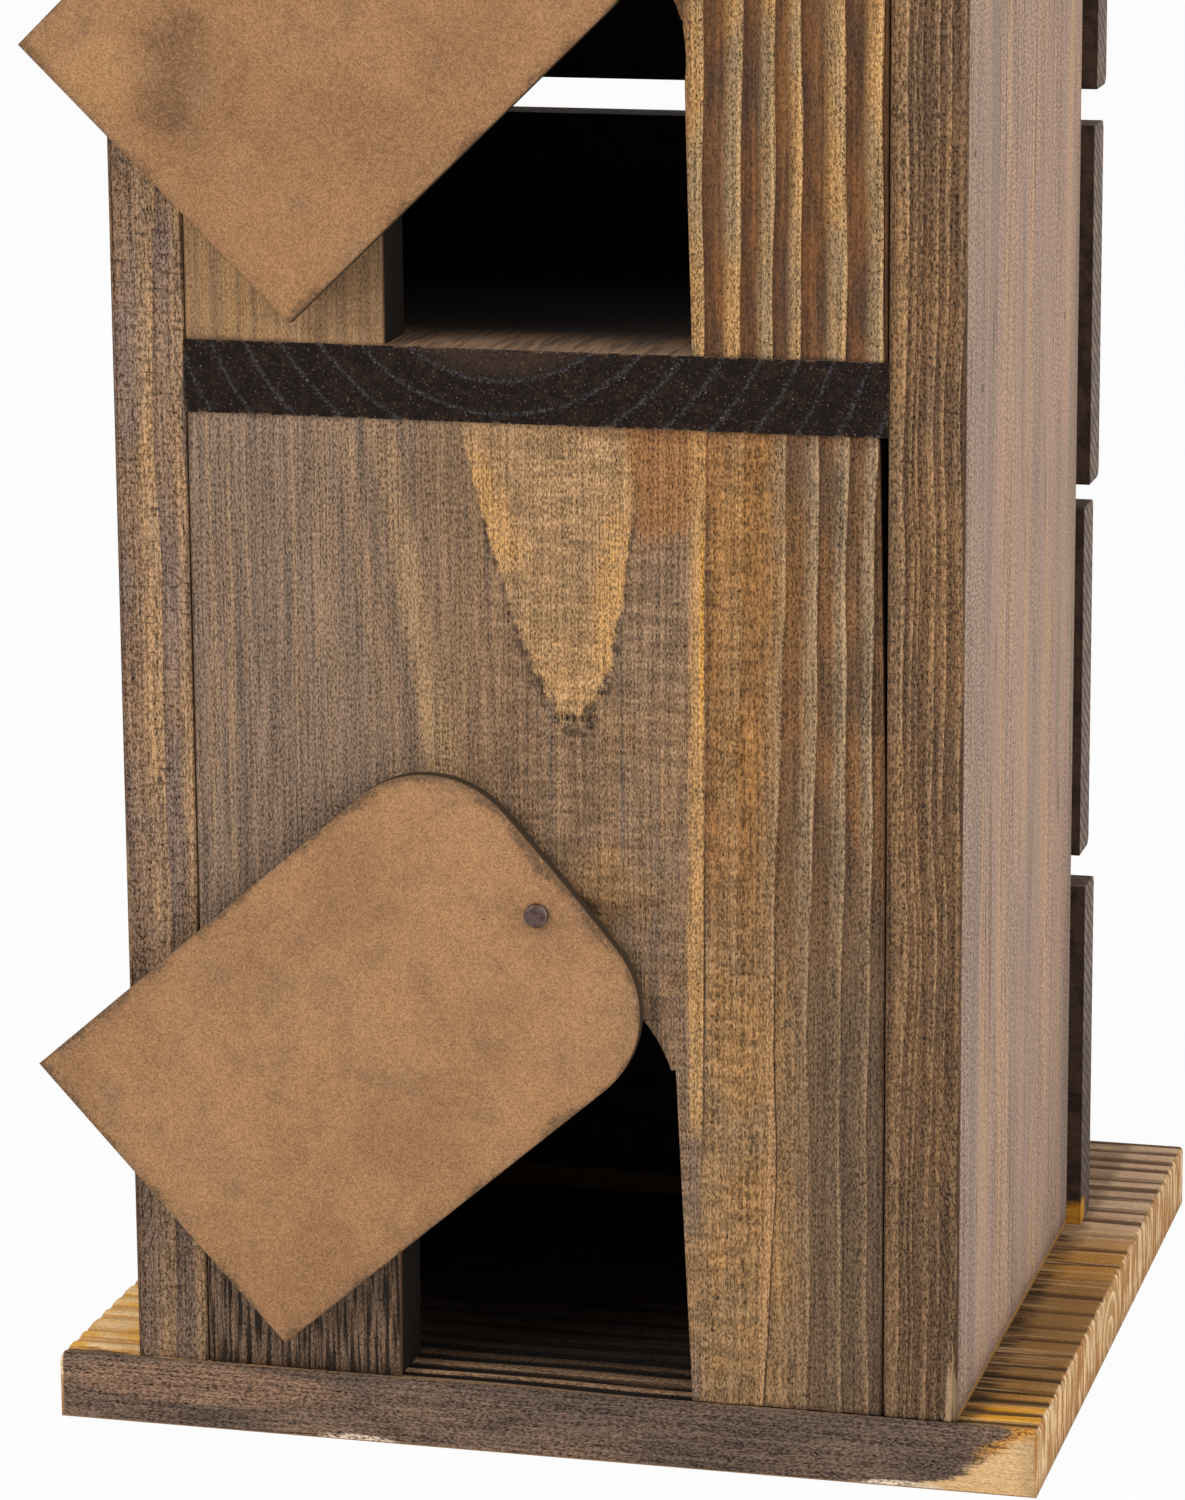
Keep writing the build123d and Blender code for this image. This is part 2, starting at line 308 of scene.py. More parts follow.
class Board:
    """The wood of one board: where its rings lie, and how far each point is from the board's edges."""

    def __init__(self, finish, node, grain, pith, lean=(0.0, 0.0), ring=3.0, phase=0.0, wander=0.5, seed=0.0):
        """Grain is the axis number of the fibres. Pith is the tree's middle across the other two axes."""
        self.finish = finish
        self.grain = grain
        self.place = finish.place()
        self.xyz = finish.parts(self.place)
        self.low, self.high = [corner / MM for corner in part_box(node)]
        along = self.xyz[grain]
        slow = [0.06, 0.06, 0.06]
        slow[grain] = 0.012
        drift = finish.noise(finish.shift(finish.stretch(self.place, slow), (seed, seed, seed)), 1.0, 1.0)
        fine = [0.35, 0.35, 0.35]
        fine[grain] = 0.02
        ripple = finish.noise(finish.shift(finish.stretch(self.place, fine), (-seed, seed, seed)), 1.0, 2.0)
        across = [axis for axis in range(3) if axis != grain]
        sides = []
        for axis, middle, slant in zip(across, pith, lean):
            sides.append(self.xyz[axis] - middle - along * slant)
        reach = (sides[0] * sides[0] + sides[1] * sides[1]) ** 0.5
        self.reach = reach
        wobble = (drift - 0.5) * (2 * wander) + (ripple - 0.5) * (0.35 * wander)
        self.share = finish.fraction(reach / ring + phase + wobble)

    def late_wood(self):
        """1 on the hard wood that ends each ring, which falls away sharply outwards."""
        return self.finish.ramp(self.share, (0.0, 0.0), (0.55, 0.05), (0.82, 0.7), (0.93, 1.0), (1.0, 0.0))

    def stained(self, colour, depth, size=0.26, specks=0.4):
        """A colour broken up by the fine scratches, fibres and pores that hold stain, and their height."""
        finish = self.finish
        grains = self.fibres(size, size * 2.4, 1.0).step(0.36, 0.64)
        lines = self.fibres(size * 1.7, size * 80.0, 2.0).step(0.36, 0.64)
        pores = self.fibres(size * 0.9, size * 1.3, 0.0).step(0.60, 0.72)
        level = grains - 0.5 + (lines - 0.5) * 0.5 - pores * specks
        height = grains * 0.05 + lines * 0.06 - pores * 0.05
        return finish.shade(colour, 1.06 + level * depth), height

    def fibres(self, width, length, detail=3.0):
        """Streaks along the grain."""
        amounts = [1 / width] * 3
        amounts[self.grain] = 1 / length
        return self.finish.noise(self.finish.stretch(self.place, amounts), 1.0, detail, 0.6)

    def grit(self, size):
        return self.finish.noise(self.place, 1 / size, 2.0, 0.6)

    def clouds(self, size, seed, along=2.0):
        amounts = [1 / size] * 3
        amounts[self.grain] = 1 / (size * along)
        moved = self.finish.shift(self.finish.stretch(self.place, amounts), (seed, seed, seed))
        return self.finish.noise(moved, 1.0, 3.0, 0.55)

    def face_distance(self, axis):
        """Distance to the nearer of the board's two faces across one axis."""
        value = self.xyz[axis]
        return self.finish.least(value - self.low[axis], self.high[axis] - value)

    def edge_distance(self):
        """Distance to the nearest edge, for a point on the board's surface."""
        x, y, z = [self.face_distance(axis) for axis in range(3)]
        finish = self.finish
        return finish.most(finish.least(x, y), finish.least(finish.most(x, y), z))

    def end_grain(self):
        """1 on the sawn ends."""
        return self.face_distance(self.grain).step(0.3, 0.05)


def patch(xyz, centre, size, ragged=None, axes=(0, 2), soft=0.4):
    """1 inside an oval patch, fading out at its rim. Ragged is a noise that breaks the rim up."""
    x = (xyz[axes[0]] - centre[0]) / size[0]
    z = (xyz[axes[1]] - centre[1]) / size[1]
    distance = (x * x + z * z) ** 0.5
    if ragged is not None:
        distance = distance + (ragged - 0.5) * 1.2
    return distance.step(1.15, 1.15 - soft)


def chamber_shade(xyz):
    """1 on what faces the two chambers, which get little light and are painted dark as shade."""
    across = abs(xyz[0]).step(inner_half + 0.1, inner_half - 0.4)
    behind = xyz[1].step(front + 1.5, front + 9.0)
    before = xyz[1].step(back + 0.3, back - 0.1)
    return across * behind * before


def ring_count(kit, x, z, lines):
    """How many ring lines lie left of x, and the part of the next. The lines wander a little."""
    x = x + 0.20 * kit.sine(z / 13.0 + x / 5.0) + 0.11 * kit.sine(z / 4.7 - x / 3.0)
    count = kit.slope(x, lines[0], lines[1])
    for low, high in zip(lines[1:], lines[2:]):
        count = count + kit.slope(x, low, high)
    return count


def lower_panel_bands(kit, x, z):
    """Where in its ring a point of the lower panel lies, and how strong the rings are there."""
    leaning = kit.slope(x, 28.0, 36.0) * kit.slope(z, 75.0, 160.0) * (2.0 - 1.1 * kit.slope(x, 42.0, 47.0))
    turning = kit.slope(x, 28.0, 34.0) * kit.slope(x, 41.0, 38.0) * kit.slope(z, 45.0, 10.0) * 1.5
    count = ring_count(kit, x - leaning + turning, z, lower_panel_lines)
    return kit.fraction(count), kit.slope(x, 23.0, 47.0)


def upper_panel_bands(kit, x, z):
    """The same for the upper panel."""
    count = ring_count(kit, x, z, upper_panel_lines)
    return kit.fraction(count), kit.slope(x, 18.0, 22.0)


def edge_bands(kit, x, z, lines):
    """The same for the narrow front edge of a side board."""
    sway = 0.35 * kit.sine(z / 19.0) + 0.25 * kit.sine(z / 8.3 + 1.0)
    return kit.fraction(ring_count(kit, x + sway, z, lines))


def close_board(board, colour, height, edge_dark=0.5, chamber=True):
    """Finish any board: dirt along its edges, and painted shade where it faces a chamber."""
    finish = board.finish
    edge = board.edge_distance()
    rub = board.clouds(5.0, seed=9.0)
    dirt = (edge + (rub - 0.5) * 1.6).step(0.7, -0.1)
    colour = finish.mix(dirt * edge_dark, colour, (48, 35, 27))
    if chamber:
        # Painted shade: near black on whatever faces a chamber
        colour = finish.mix(chamber_shade(board.xyz), colour, (26, 20, 16))
    return finish.surface(colour, 0.85, height)


def doorway_cut_shade(board, colour):
    """Paint shade over all of a door panel but its front, so that its doorway cut faces and back are dark,
    with a middle brown band along the cut's front arris.
    """
    y = board.xyz[1]
    colour = board.finish.over(colour, (96, 68, 48), y, front + 0.45, front + 0.75)
    # Painted shade on everything behind the panel's front
    return board.finish.over(colour, (24, 18, 14), y, front + 0.75, front + 1.8)


def banded(finish, share, strength, light, dark, line, drop=0.55):
    """The sawtooth bands of brushed rings, from dark to light, with a painted highlight along each crest."""
    colour = finish.mix(finish.ramp(share, *band_light) * strength, dark, light)
    # Painted highlight: a pale line in the given colour along each ring's crest
    colour = finish.mix(finish.ramp(share, *crest_highlight) * strength * 0.6, colour, line)
    return finish.mix(finish.ramp(share, *band_drop) * strength * drop, colour, (52, 36, 26))


def lower_panel_wood():
    """The lower panel, whose rings draw a tall flame that points down above the doorway."""
    finish = Finish("lower_panel_wood")
    foot_x = 6.35
    foot_z = 116.3
    sideways = -0.082
    tilt = -0.0357
    reach = 60.0
    pith = (foot_x - sideways * foot_z, front + reach - tilt * foot_z)
    board = Board(finish, "lower_door_panel", 2, pith, lean=(sideways, tilt), wander=0.05, seed=2.0)
    x, _, z = board.xyz
    fine = board.grit(1.6)
    radius = board.reach + (board.fibres(1.2, 3.0) - 0.5) * 0.35
    soft = board.clouds(30.0, seed=5.0)
    blots = board.clouds(9.0, seed=11.0)
    streaks = board.fibres(1.6, 90.0, 2.0)
    share, strength = lower_panel_bands(finish, x, z)

    colour = finish.over((134, 110, 91), (134, 105, 79), x + (soft - 0.5) * 24.0, -30.0, -8.0)
    colour = finish.over(colour, (110, 94, 80), streaks, 0.52, 0.64, 0.55)
    colour = finish.over(colour, (160, 128, 96), streaks, 0.45, 0.36, 0.40)
    hair_lines = board.fibres(0.5, 45.0, 2.0).step(0.54, 0.64)
    colour = finish.mix(hair_lines * 0.35, colour, (84, 68, 56))
    for ring, width, amount in ((63.9, 1.2, 0.6), (66.7, 1.0, 0.25)):
        streak = abs(radius - ring).step(width, width * 0.4) * x.step(4.0, -6.0)
        colour = finish.mix(streak * amount * blots.step(0.25, 0.5), colour, (168, 134, 96))
    grey = x.step(12.0, 15.0) * x.step(26.0, 23.0) * blots.step(0.35, 0.55)
    colour = finish.mix(grey * 0.25, colour, (128, 106, 88))
    golden = board.clouds(14.0, seed=17.0, along=1.5).step(0.46, 0.62) * x.step(-6.0, 10.0)
    colour = finish.mix(golden * z.step(130.0, 105.0) * 0.45, colour, (156, 116, 72))

    upper_part = (z + (soft - 0.5) * 60.0).step(60.0, 110.0)
    light = finish.mix(upper_part, (134, 106, 78), (150, 124, 94))
    light = finish.mix(blots.step(0.45, 0.62) * x.step(38.0, 46.0) * 0.6, light, (106, 90, 72))
    dark = finish.over((124, 86, 54), (100, 74, 52), blots, 0.4, 0.6)
    lower_dark = finish.over((144, 112, 78), (100, 80, 62), x, 36.0, 46.0)
    dark = finish.mix(upper_part, lower_dark, dark)
    strength = 0.3 + 0.7 * strength * (0.35 + 0.65 * upper_part)
    bands = banded(finish, share, strength, light, dark, (178, 146, 110))
    colour = finish.over(colour, bands, x, 25.2, 26.6)
    colour = finish.mix(x.step(26.0, 28.0) * x.step(40.0, 33.0) * upper_part * 0.5, colour, (158, 114, 68))
    colour = finish.mix(golden * x.step(42.0, 34.0) * x.step(26.0, 28.0) * 0.35, colour, (172, 122, 66))
    low_line = x.step(31.5, 33.5) * x.step(40.0, 38.0) * z.step(95.0, 70.0)
    tan_line = finish.ramp(share, (0.0, 0.0), (0.70, 0.0), (0.82, 1.0), (1.0, 1.0)) * low_line
    colour = finish.mix(tan_line * 0.6, colour, (176, 134, 92))
    crack = finish.ramp(share, (0.0, 1.0), (0.03, 1.0), (0.06, 0.0), (1.0, 0.0)) * low_line
    colour = finish.mix(crack * 0.75, colour, (50, 38, 30))

    flame = radius.step(60.06, 59.96)
    filling = finish.over((152, 119, 86), (168, 132, 94), blots, 0.35, 0.65)
    filling = finish.over(filling, (182, 141, 94), z, 134.0, 122.0, 0.7)
    colour = finish.mix(flame, colour, filling)
    ripple = finish.noise(finish.stretch(board.place, (0.14, 0.14, 0.62)), 1.0, 2.0, 0.6)
    rippled = x.step(-14.0, 0.0) * x.step(40.0, 30.0)
    colour = finish.shade(colour, 1.0 + (ripple.step(0.38, 0.62) - 0.5) * 0.36 * rippled)
    left_rim = x.step(4.0, 1.0) * z.step(136.0, 143.0) * z.step(160.0, 152.0)
    right_rim = x.step(8.0, 11.0) * z.step(121.0, 126.0) * z.step(158.0, 140.0)
    rim = flame * radius.step(59.1, 59.6) * finish.most(left_rim, right_rim)
    colour = finish.mix(rim * 0.7 * fine.step(0.3, 0.5), colour, (198, 150, 90))
    outline = abs(radius - 60.05).step(0.12, 0.03) * z.step(158.0, 140.0)
    colour = finish.mix(outline * fine.step(0.42, 0.58) * 0.7, colour, (50, 40, 34))
    for spot, size in (((1.6, 120.6), (0.5, 1.0)), ((10.3, 120.9), (0.5, 0.9)), ((6.3, 116.4), (4.0, 0.55))):
        mark = patch(board.xyz, spot, size) * board.fibres(0.35, 1.4).step(0.48, 0.58)
        colour = finish.mix(mark * 0.9, colour, (26, 22, 19))

    orange = patch(board.xyz, (20.0, 158.0), (6.0, 16.0), blots)
    colour = finish.mix(orange * 0.7, colour, (154, 104, 58))
    centre = 25.2 + 0.006 * (z - 90.0)
    gold = x.step(centre - 2.2, centre - 0.8) * x.step(centre + 0.9, centre + 0.6)
    gold = gold * z.step(ground + 40.0, ground + 46.0)
    colour = finish.mix(gold * fine.step(0.2, 0.5) * 0.65, colour, (196, 150, 94))
    split = abs(x - centre - 0.9).step(0.22, 0.08) * z.step(105.0, 90.0)
    split = split * z.step(ground + 34.0, ground + 46.0)
    colour = finish.mix(split * 0.7, colour, (56, 42, 33))
    core = abs(x - centre - 0.3).step(0.4, 0.08)
    core = core * z.step(108.0, 124.0) * z.step(148.0, 140.0)
    colour = finish.mix(core * 0.8, colour, (216, 154, 66))
    under_floor = (z + (soft - 0.5) * 3.0).step(mid_floor_bottom - 2.4, mid_floor_bottom - 0.4)
    colour = finish.mix(under_floor * 0.4 * x.step(-5.0, 10.0), colour, (92, 58, 34))
    foot = (z + (blots - 0.5) * 40.0).step(70.0, 35.0) * x.step(0.0, -20.0)
    colour = finish.mix(foot * 0.55, colour, (104, 80, 61))
    grooves = board.fibres(0.8, 14.0, 2.0).step(0.42, 0.60)
    colour = finish.mix(foot * grooves * 0.9, colour, (28, 22, 18))
    colour, height = board.stained(colour, 0.85)
    colour = doorway_cut_shade(board, colour)
    return close_board(board, colour, height + ripple * rippled * 0.12)


def upper_panel_wood():
    """The upper panel, its ridges close and deep right of the doorway."""
    finish = Finish("upper_panel_wood")
    board = Board(finish, "upper_door_panel", 2, (3.0, front + 60.0), wander=0.1, seed=7.0)
    x, _, z = board.xyz
    share, strength = upper_panel_bands(finish, x, z)
    blots = board.clouds(7.0, seed=4.0, along=3.0)
    streaks = board.fibres(1.2, 40.0, 2.0)
    tall_blots = board.clouds(2.6, seed=9.0, along=5.0)
    left = finish.over((150, 117, 85), (170, 131, 91), streaks, 0.42, 0.58)
    light = finish.over((148, 122, 90), (178, 136, 86), blots, 0.38, 0.62)
    dark = finish.over((80, 56, 42), (120, 78, 46), tall_blots, 0.32, 0.66)
    dark = finish.over(dark, (68, 47, 34), board.fibres(0.6, 14.0, 2.0), 0.46, 0.62, 0.55)
    dark = finish.over(dark, (132, 92, 56), streaks, 0.46, 0.34, 0.4)
    right = banded(finish, share, strength, light, dark, (192, 152, 104), drop=0.4)
    colour = finish.over(left, right, x, 10.0, 18.0)
    # A painted shadow of the upper cover: a dark brown patch left of the doorway
    shade = patch(board.xyz, (-27.0, 190.0), (12.0, 20.0), blots)
    colour = finish.mix(shade * 0.5, colour, (104, 80, 58))
    spots = finish.ramp(share, *band_light)
    colour, height = board.stained(colour, 0.45 + 0.45 * spots, 0.24, 0.7)
    colour = doorway_cut_shade(board, colour)
    return close_board(board, colour, height, edge_dark=0.6)


def side_board_wood(node, side):
    """A side board: stripes on its narrow front edge, a calm pinkish face outside."""
    finish = Finish(node + "_wood")
    board = Board(finish, node, 2, (side * 175.0, front - 40.0), lean=(0.01, 0.006), ring=2.2, wander=0.5,
                  seed=11.0 + side)
    x, y, z = board.xyz
    clouds = board.clouds(22.0, seed=4.0)
    blots = board.clouds(7.0, seed=14.0 + side, along=4.0)
    if side < 0:
        share = edge_bands(finish, x, z, left_edge_lines)
        light = finish.over((158, 126, 96), (176, 137, 97), blots, 0.4, 0.6)
        dark = finish.over((126, 104, 90), (140, 110, 86), blots, 0.4, 0.6)
    else:
        share = edge_bands(finish, x, z, right_edge_lines)
        light = finish.over((132, 104, 77), (148, 113, 77), blots, 0.4, 0.6)
        dark = finish.over((98, 73, 53), (114, 84, 58), blots, 0.4, 0.6)
    stripe = banded(finish, share, 0.85, light, dark, (166, 131, 94), drop=0.25)
    checks = finish.noise(finish.stretch(board.place, (0.40, 0.40, 2.0)), 1.0, 2.0, 0.6)
    check_depth = 0.65 if side < 0 else 0.4
    stripe = finish.over(stripe, (70, 52, 40), checks, 0.59, 0.67, check_depth)
    low_down = (z + (clouds - 0.5) * 80.0).step(110.0, 30.0)
    stripe = finish.mix(low_down * 0.35, stripe, (90, 71, 54))
    stripe, stripe_height = board.stained(stripe, 0.9, 0.27, 0.5)

    wide_lines = board.fibres(1.3, 55.0, 2.0)
    wide_streaks = board.fibres(9.0, 160.0, 2.0)
    in_streaks = board.clouds(12.0, seed=6.0, along=8.0).step(0.42, 0.60)
    hair_lines = board.fibres(0.55, 60.0, 2.0).step(0.54, 0.66)
    face = finish.over((172, 142, 122), (162, 136, 119), clouds, 0.35, 0.65)
    face = finish.over(face, (138, 121, 108), wide_streaks, 0.52, 0.62, 0.65)
    face = finish.over(face, (186, 150, 118), wide_streaks, 0.46, 0.38, 0.55)
    near_front = (y + (clouds - 0.5) * 8.0).step(front + 22.0, front + 6.0)
    face = finish.mix(near_front * 0.35, face, (136, 120, 110))
    near_back = (y + (clouds - 0.5) * 20.0).step(back - 26.0, back - 4.0)
    face = finish.mix(near_back * low_down * 0.45, face, (112, 98, 88))
    lined = wide_lines.step(0.52, 0.64) * (0.12 + 0.35 * in_streaks + 0.2 * near_front)
    face = finish.mix(lined, face, (112, 92, 80))
    face = finish.mix(hair_lines * (0.15 + 0.5 * in_streaks), face, (96, 78, 68))
    face = finish.over(face, (58, 46, 40), board.fibres(1.1, 26.0, 1.0), 0.68, 0.76, 0.8)
    salt = finish.noise(finish.stretch(board.place, (2.6, 0.8, 2.2)), 1.0, 1.0)
    salty = 0.30 + 0.25 * in_streaks + 0.25 * near_front
    face = finish.shade(face, 1.0 + (salt.step(0.38, 0.62) - 0.5) * salty)
    foot = (z + (blots - 0.5) * 1.2).step(ground + 1.1, ground + 0.7)
    face = finish.mix(foot * 0.85, face, (214, 162, 84))
    bark = board.fibres(0.5, 3.0, 2.0)
    grazed = patch(board.xyz, (64.3, ground + 1.0), (1.2, 8.0), bark * 2.0 - 0.5)
    on_front = y.step(front + 1.2, front + 0.5)
    stripe = finish.mix(grazed * 0.6, stripe, (196, 164, 126))
    teeth = finish.fraction((x * side + z * 0.32) * 0.75)
    nicks = teeth.step(0.80, 0.90) * teeth.step(1.0, 0.95)
    nicks = nicks * patch(board.xyz, (side * 63.0, ground + 38.0), (1.4, 22.0), blots)
    stripe = finish.mix(nicks * 0.8, stripe, (42, 32, 26))
    colour = finish.mix(on_front, face, stripe)
    arris = abs(x).step(half_width - 0.5, half_width - 0.2) * y.step(front + 0.9, front + 0.5)
    colour = finish.mix(arris * 0.45, colour, (76, 54, 38))
    height = stripe_height * on_front + wide_lines * 0.10 + salt * 0.03
    return close_board(board, colour, height, edge_dark=0.3)


def mid_floor_wood():
    """The mid floor: nearly black end grain to the front, with soft grey ring lines."""
    finish = Finish("mid_floor_wood")
    pith = (-4.6, mid_floor_top + 19.0)
    board = Board(finish, "mid_floor", 1, pith, ring=5.0, phase=0.2, wander=0.12, seed=21.0)
    y = board.xyz[1]
    grit = board.grit(0.35)
    coarse = board.grit(1.4)
    end = board.end_grain()
    line = finish.ramp(board.share, (0.0, 0.5), (0.04, 0.0), (0.84, 0.0), (0.95, 1.0), (1.0, 0.5))
    lit = y.step(front + 22.0, front + 2.0)
    top = finish.mix(lit, (34, 27, 22), (156, 124, 98))
    top = finish.over(top, (44, 34, 28), board.fibres(0.8, 12.0), 0.42, 0.62, 0.6)
    inner = board.reach.step(24.5, 21.0)
    end_colour = finish.over((25, 17, 13), (42, 29, 22), coarse, 0.4, 0.7)
    end_colour = finish.mix(inner * 0.6, end_colour, (66, 50, 39))
    end_colour = finish.mix(line * 0.6 * grit.step(0.40, 0.60), end_colour, (76, 77, 82))
    end_colour = finish.over(end_colour, (116, 94, 76), grit, 0.63, 0.69, 0.6)
    end_colour = finish.over(end_colour, (220, 210, 200), grit, 0.76, 0.80)
    end_colour = finish.over(end_colour, (10, 8, 7), grit, 0.42, 0.34, 0.7)
    rubbed = board.edge_distance().step(0.35, 0.05) * coarse.step(0.5, 0.6)
    end_colour = finish.mix(rubbed * 0.6, end_colour, (110, 88, 70))
    colour = finish.mix(end, top, end_colour)
    height = line * 0.04 + grit * 0.16 + coarse * 0.12
    return finish.surface(colour, 0.8, height, specular=0.12)


def siding_wood(node, seed):
    """Siding: grey saw-marked ends and dark stained faces."""
    finish = Finish(node + "_wood")
    board = Board(finish, node, 0, (back + 45.0, 20.0 + 40.0 * seed), lean=(0.01, 0.02), ring=3.0, wander=0.4,
                  seed=seed)
    _, y, z = board.xyz
    clouds = board.clouds(18.0, seed=seed)
    blots = board.clouds(4.0, seed=seed + 3.0, along=1.0)
    saw = finish.sine(z * 2.9 + y * 2.0 + board.grit(2.5) * 5.0)
    colour = finish.over((86, 68, 56), (108, 86, 70), clouds, 0.35, 0.7)
    colour = finish.mix(board.late_wood() * 0.5, colour, (60, 45, 36))
    colour, height = board.stained(colour, 0.8, 0.5, 0.5)
    end_colour = finish.over((112, 98, 90), (138, 120, 108), blots, 0.35, 0.65)
    end_colour = finish.over(end_colour, (72, 58, 50), saw, -0.1, 0.8, 0.75)
    end_colour = finish.over(end_colour, (60, 48, 42), z, 60.0, 25.0, 0.55)
    colour = finish.mix(board.end_grain(), colour, end_colour)
    # Painted shade on the faces that look towards the tower
    tower_side_shade = y.step(back + 0.6, back + 0.2)
    colour = finish.mix(tower_side_shade, colour, finish.over((46, 34, 28), (66, 50, 40), blots, 0.4, 0.6))
    gold = (z + (blots - 0.5) * 3.0).step(ground + 4.2, ground + 3.0) * y.step(back + 5.0, back + 3.0)
    colour = finish.mix(gold * 0.9, colour, (196, 138, 46))
    return close_board(board, colour, height + saw * 0.05, edge_dark=0.3)


def base_valleys(kit, x, y):
    """How deep a point lies in a valley of the base's top, 0 to 1. Valleys are closest at front and back."""
    y = y + 0.5 * kit.sine(x / 23.0 + y / 11.0) + 0.25 * kit.sine(x / 7.0 - y / 6.0)
    count = y / 8.0 + 2.75 * (y / 73.0) * (y / 73.0) * (y / 73.0) + 30.35
    share = kit.fraction(count)
    number = count - share
    depth = 0.7 + 0.3 * kit.sine(number * 2.4 + x / 40.0)
    narrow = kit.slope(abs(y + 10.0), 45.0, 25.0)
    return kit.ramp(share, *valley_shape) ** (1.0 + 3.0 * narrow) * depth


def base_wood():
    """The ground board: yellow wood under a worn dark stain, brushed into ridges."""
    finish = Finish("base_wood")
    board = Board(finish, "base_board", 0, (-5.1, 2.5), ring=3.4, wander=0.5, seed=31.0)
    x, y, z = board.xyz
    low, high = board.low, board.high
    valley = base_valleys(finish, x, y)
    clouds = board.clouds(16.0, seed=8.0)
    blots = board.clouds(5.0, seed=2.0)
    streaks = board.fibres(0.9, 30.0, 2.0)
    ragged = board.fibres(0.7, 7.0, 3.0)

    out_back = (y + (clouds - 0.5) * 20.0).step(4.0, 30.0)
    worn = finish.mix(out_back, (190, 138, 66), (222, 184, 148))
    left_colour = finish.over((250, 212, 154), (244, 184, 80), blots, 0.42, 0.56)
    worn = finish.over(worn, left_colour, x, 0.0, -60.0)
    gold_corner = patch(board.xyz, (72.0, -68.0), (9.0, 6.0), blots, axes=(0, 1))
    worn = finish.mix(gold_corner * 0.8, worn, (222, 156, 40))
    middle = (abs(y + 30.0) + (clouds - 0.5) * 14.0).step(34.0, 20.0) * x.step(0.0, 60.0)
    worn = finish.mix(middle * 0.75, worn, (140, 106, 68))
    by_tower = (abs(x) + (blots - 0.5) * 7.0).step(half_width + 5.0, half_width + 2.0)
    colour = finish.mix(by_tower * x.step(-60.0, 0.0) * 0.55, worn, (84, 60, 36))
    dabs = (x + (ragged - 0.5) * 8.0).step(half_width + 3.0, half_width + 0.8)
    dabs = dabs * x.step(60.0, 64.0) * y.step(back - 1.0, back - 6.0)
    dabs = dabs * streaks.step(0.46, 0.56)
    # The valleys' colour: stain held in them and painted shade in them, darker towards the front and golden
    # to the left
    deep = finish.over((92, 62, 40), (40, 28, 18), y, -38.0, -50.0)
    deep = finish.over(deep, (206, 150, 82), x, 0.0, -60.0)
    colour = finish.over(colour, deep, valley, 0.10, 0.60, 0.9)
    colour = finish.mix(dabs * 0.85, colour, (30, 24, 18))
    colour = finish.over(colour, (126, 90, 52), streaks, 0.54, 0.66, 0.30)
    colour = finish.over(colour, (240, 204, 158), streaks, 0.44, 0.34, 0.35)

    stained = finish.over((92, 76, 66), (122, 98, 80), clouds, 0.35, 0.65)
    stained = finish.over(stained, (66, 54, 46), board.fibres(1.6, 16.0, 2.0), 0.50, 0.66, 0.35)
    tan_spot = patch(board.xyz, (-55.0, 7.0), (24.0, 3.2), clouds)
    stained = finish.mix(tan_spot * 0.35, stained, (168, 128, 98))
    leaning = 8.0 * finish.slope(z, 0.0, 2.0) + 10.5 * finish.slope(z, 2.0, 10.0)
    slant = x - 57.0 - leaning + (ragged - 0.5) * 8.0
    bare = slant.step(-1.4, 1.4) * z.step(high[2] - 0.3, high[2] - 1.0)
    fringe = slant.step(-3.5, -0.5) * slant.step(3.0, 1.0) * z.step(4.0, 8.0)
    face = finish.mix(fringe * 0.7, stained, (206, 142, 50))
    bare_colour = finish.over((214, 175, 125), (206, 150, 70), z, 8.0, 10.0)
    bare_colour = finish.over(bare_colour, (150, 126, 98), x, 73.5, 77.0, 0.45)
    face = finish.mix(bare, face, bare_colour)
    for chip_x in (-29.0, 57.0):
        chip = patch(board.xyz, (chip_x, 0.2), (6.0, 0.9), ragged * 1.6 - 0.3)
        face = finish.mix(chip * 0.8, face, (222, 200, 176))

    on_end = abs(x).step(high[0] - 0.6, high[0] - 0.2)
    strokes = finish.noise(finish.stretch(board.place, (0.1, 0.8, 0.10)), 1.0, 3.0, 0.65)
    end_colour = finish.over((172, 122, 70), (238, 206, 160), strokes, 0.45, 0.60)
    middle_rings = board.reach.step(11.0, 7.5)
    end_colour = finish.mix(middle_rings * 0.8, end_colour, (184, 138, 84))
    end_colour = finish.mix(board.late_wood() * middle_rings, end_colour, (242, 216, 172))
    end_colour = finish.over(end_colour, (132, 94, 54), z, 3.0, 0.5, 0.4)
    on_front = y.step(low[1] + 1.5, low[1] + 0.9)
    # A dark lip on the base's top along the foot of the tower's front, wider at the left end: partly stain,
    # partly painted shade
    stain_and_shade_lip = (y + (ragged - 0.5) * 2.5).step(front + 0.6, front - 0.4)
    left_lip = (y + (ragged - 0.5) * 5.0 + (blots - 0.5) * 4.0).step(front + 2.2, front + 1.2)
    at_left = x.step(-66.0, -68.0)
    stain_and_shade_lip = stain_and_shade_lip * (1.0 - at_left) * x.step(65.0, 61.0) + left_lip * at_left
    colour = finish.mix(stain_and_shade_lip * 0.85, colour, (64, 50, 40))
    colour = finish.mix(on_front, colour, face)
    colour = finish.mix(on_end, colour, end_colour)
